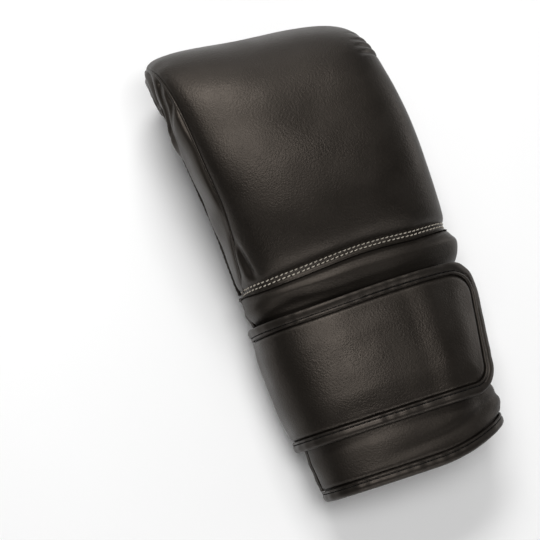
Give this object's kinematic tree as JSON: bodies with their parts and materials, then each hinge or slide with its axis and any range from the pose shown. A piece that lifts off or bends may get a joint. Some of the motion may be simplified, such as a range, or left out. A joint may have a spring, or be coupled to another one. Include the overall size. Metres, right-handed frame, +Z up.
{
  "type": "bag glove",
  "caption": "Left padded bag glove lying palm down: curled back pad, bound wrist strap with rounded free end, slit cuff and attached thumb sleeve, for striking a punch bag",
  "frame": {"origin": "middle of the bounding box, on the surface that the glove lies on", "axes": "+X towards the thumb side, +Y from the cuff to the knuckles, +Z up through the back of the hand"},
  "size_m": [0.1474, 0.2654, 0.091],
  "materials": {
    "pad_leather": "fine-grained, satin",
    "side_leather": "fine-grained, satin",
    "palm_leather": "fine-grained, satin",
    "piping_leather": "smooth, satin",
    "thumb_leather": "fine-grained, satin",
    "cuff_leather": "fine-grained, satin",
    "tape": "smooth, satin",
    "strap_leather": "fine-grained, satin",
    "loop_fabric": "brushed loop pile"
  },
  "bodies": {
    "root": {"back_pad": "pad_leather", "little_finger_side": "side_leather", "thumb_side": "side_leather", "palm_panel": "palm_leather", "finger_panel": "palm_leather", "back_piping_little": "piping_leather", "palm_piping_little": "piping_leather", "back_piping_thumb": "piping_leather", "thumb_back": "thumb_leather", "thumb_palm": "thumb_leather", "wrist_roll": "cuff_leather", "cuff": "cuff_leather", "hem_binding": "tape", "slit_binding_back": "tape", "slit_binding_palm": "tape", "strap": "strap_leather", "strap_binding": "tape", "loop_patch": "loop_fabric"}
  },
  "joints": []
}
